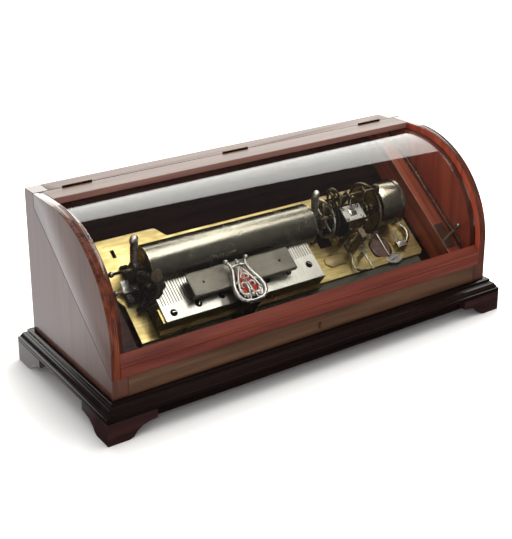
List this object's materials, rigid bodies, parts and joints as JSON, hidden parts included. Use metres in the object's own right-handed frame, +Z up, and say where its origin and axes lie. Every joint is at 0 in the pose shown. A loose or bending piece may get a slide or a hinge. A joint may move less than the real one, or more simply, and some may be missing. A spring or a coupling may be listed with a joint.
{
  "type": "cylinder music box",
  "caption": "Large mahogany cylinder music box with curved glass lid, dark stepped plinth, pinned cylinder, comb, zither attachment and spring barrel on a sloping gilt bed.",
  "frame": {"origin": "centre of the footprint, on the floor that the feet stand on", "axes": "+X along the case to the right, +Y to the back, +Z up; the lid opens from the front (-Y)"},
  "size_m": [0.95, 0.38, 0.3701],
  "materials": {
    "mahogany": "french polished",
    "ebonised": "dark polished",
    "deck": "satin",
    "glass": "clear",
    "gilt": "gilt satin",
    "brass": "aged satin",
    "steel": "brushed",
    "nickel": "nickel plated",
    "iron": "black japanned",
    "cylinder": "pinned, dulled",
    "felt": "matt"
  },
  "bodies": {
    "root": {"base_board": "mahogany", "plinth_moulding_front": "ebonised", "plinth_moulding_back": "ebonised", "plinth_moulding_left": "ebonised", "plinth_moulding_right": "ebonised", "foot_front_left": "ebonised", "foot_front_right": "ebonised", "foot_back_left": "ebonised", "foot_back_right": "ebonised", "side_left": "mahogany", "side_right": "mahogany", "front_rail": "mahogany", "back_board": "mahogany", "top_strip": "mahogany", "lining_left": "mahogany", "lining_right": "mahogany", "movement_deck": "deck", "lock_case": "brass", "hinge_case_leaf_left": "brass", "hinge_case_leaf_middle": "brass", "hinge_case_leaf_right": "brass", "stay_bracket": "steel", "bedplate": "gilt", "bearing_left": "iron", "bearing_right": "iron", "barrel_bracket": "iron", "change_rod": "steel", "governor_cock": "brass", "cage_plate_left": "steel", "cage_plate_right": "steel", "cage_top_plate": "steel", "comb": "steel", "comb_base": "iron", "lyre_ornament": "steel", "lyre_bracket": "iron"},
    "lid": {"lid_cheek_left": "mahogany", "lid_cheek_right": "mahogany", "lid_top_rail": "mahogany", "lid_bottom_rail": "mahogany", "lid_glass": "glass", "hinge_lid_leaf_left": "brass", "hinge_lid_leaf_middle": "brass", "hinge_lid_leaf_right": "brass"},
    "stay": {"stay_arm": "steel"},
    "cylinder_body": {"cylinder": "cylinder", "cylinder_arbor": "brass", "cylinder_wheel": "steel", "governor_drive_wheel": "iron"},
    "barrel": {"spring_barrel": "nickel", "mainspring": "steel", "great_wheel": "brass"},
    "winding": {"winding_arbor": "steel"},
    "lay": {"lay_shaft": "brass", "lay_wheel": "brass"},
    "governor": {"governor_arbor": "brass"},
    "fly": {"governor_fly": "steel"},
    "start_stop": {"start_stop_lever": "steel"},
    "change": {"change_lever": "steel"},
    "zither": {"zither_plate": "nickel", "zither_roll": "felt"}
  },
  "joints": [
    {"name": "lid_hinge", "type": "hinge", "parent": "root", "child": "lid", "pos_m": [0, 0.12485, 0.3682], "axis": [-1, 0, 0], "range_deg": [0, 55]},
    {"name": "stay_pivot", "type": "hinge", "parent": "lid", "child": "stay", "pos_m": [0.414, 0.0581, 0.29238], "axis": [-1, 0, 0], "range_deg": [-78.1, 0]},
    {"name": "cylinder_spin", "type": "hinge", "parent": "root", "child": "cylinder_body", "pos_m": [0, -0.00178, 0.22551], "axis": [1, 0, 0], "continuous": true},
    {"name": "barrel_spin", "type": "hinge", "parent": "root", "child": "barrel", "pos_m": [0.3, -0.00178, 0.22551], "axis": [1, 0, 0], "continuous": true},
    {"name": "winding_spin", "type": "hinge", "parent": "root", "child": "winding", "pos_m": [0.3, -0.00178, 0.22551], "axis": [1, 0, 0], "continuous": true},
    {"name": "lay_spin", "type": "hinge", "parent": "root", "child": "lay", "pos_m": [0.19, -0.03592, 0.27964], "axis": [1, 0, 0], "continuous": true},
    {"name": "governor_spin", "type": "hinge", "parent": "root", "child": "governor", "pos_m": [0.18, -0.02684, 0.18456], "axis": [1, 0, 0], "continuous": true},
    {"name": "fly_spin", "type": "hinge", "parent": "root", "child": "fly", "pos_m": [0.188, -0.03734, 0.17801], "axis": [0, -0.623, 0.7822], "continuous": true},
    {"name": "start_stop_turn", "type": "hinge", "parent": "root", "child": "start_stop", "pos_m": [0.254, -0.01481, 0.1576], "axis": [0, -0.623, 0.7822], "range_deg": [0, 10]},
    {"name": "change_turn", "type": "hinge", "parent": "root", "child": "change", "pos_m": [0.199, -0.04375, 0.13454], "axis": [0, -0.623, 0.7822], "range_deg": [-8, 8]},
    {"name": "zither_tilt", "type": "hinge", "parent": "root", "child": "zither", "pos_m": [-0.117, -0.08614, 0.17493], "axis": [-1, 0, 0], "range_deg": [0, 6]}
  ],
  "couplings": [
    {"joint": "stay_pivot", "follows": "lid_hinge", "ratio": -1.418},
    {"joint": "lay_spin", "follows": "cylinder_spin", "ratio": -1.7826},
    {"joint": "barrel_spin", "follows": "cylinder_spin", "ratio": 0.2917},
    {"joint": "governor_spin", "follows": "cylinder_spin", "ratio": -3.8},
    {"joint": "fly_spin", "follows": "cylinder_spin", "ratio": 45.6}
  ]
}
